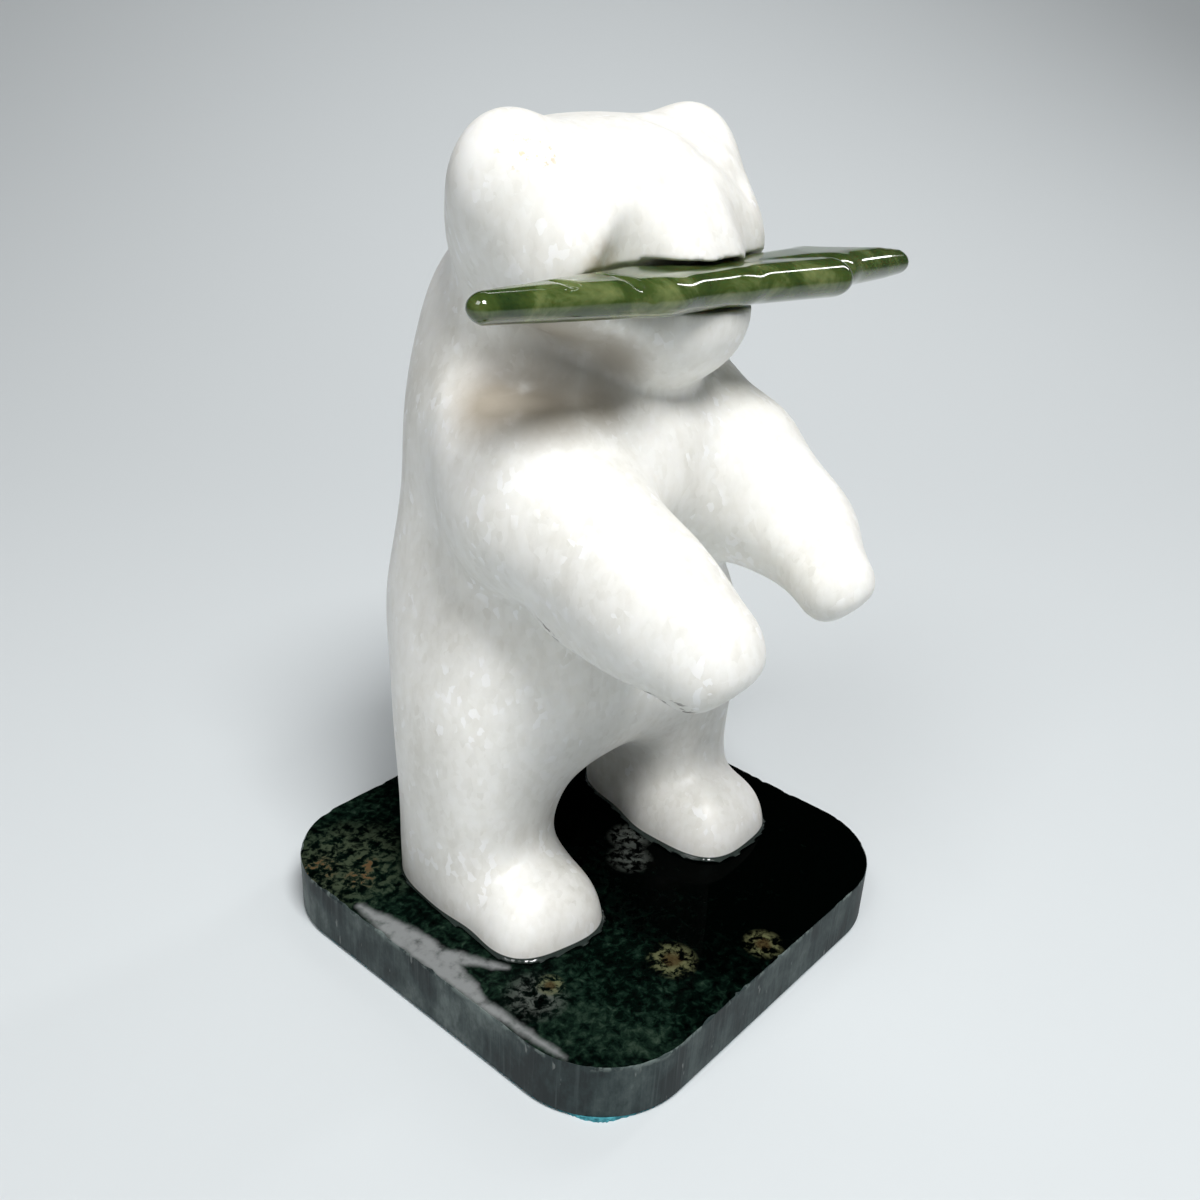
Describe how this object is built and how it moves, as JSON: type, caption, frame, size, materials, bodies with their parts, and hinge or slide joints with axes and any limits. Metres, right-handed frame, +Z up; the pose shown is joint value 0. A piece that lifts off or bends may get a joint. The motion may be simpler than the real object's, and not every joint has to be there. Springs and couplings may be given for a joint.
{
  "type": "carved stone bear figure",
  "caption": "Standing bear carved in white marble, arms held forward and a green stone fish crosswise in its mouth, glued to a square dark green stone slab with a felt pad.",
  "frame": {"origin": "centre of the felt pad's underside, where the carving rests", "axes": "+Z up, -Y towards the slab's front edge, which the bear faces, +X towards the bear's left"},
  "size_m": [0.1201, 0.1036, 0.1688],
  "materials": {
    "white_marble": "smooth hand-polished coarse-grained white marble, slightly translucent",
    "green_jade": "high-polish mottled green nephrite",
    "dark_serpentine": "mirror-polished top, matt sawn sides, dark green with lighter veins",
    "teal_felt": "thin fuzzy felt"
  },
  "bodies": {
    "root": {"bear": "white_marble", "fish": "green_jade", "slab": "dark_serpentine", "felt_pad": "teal_felt"}
  },
  "joints": []
}
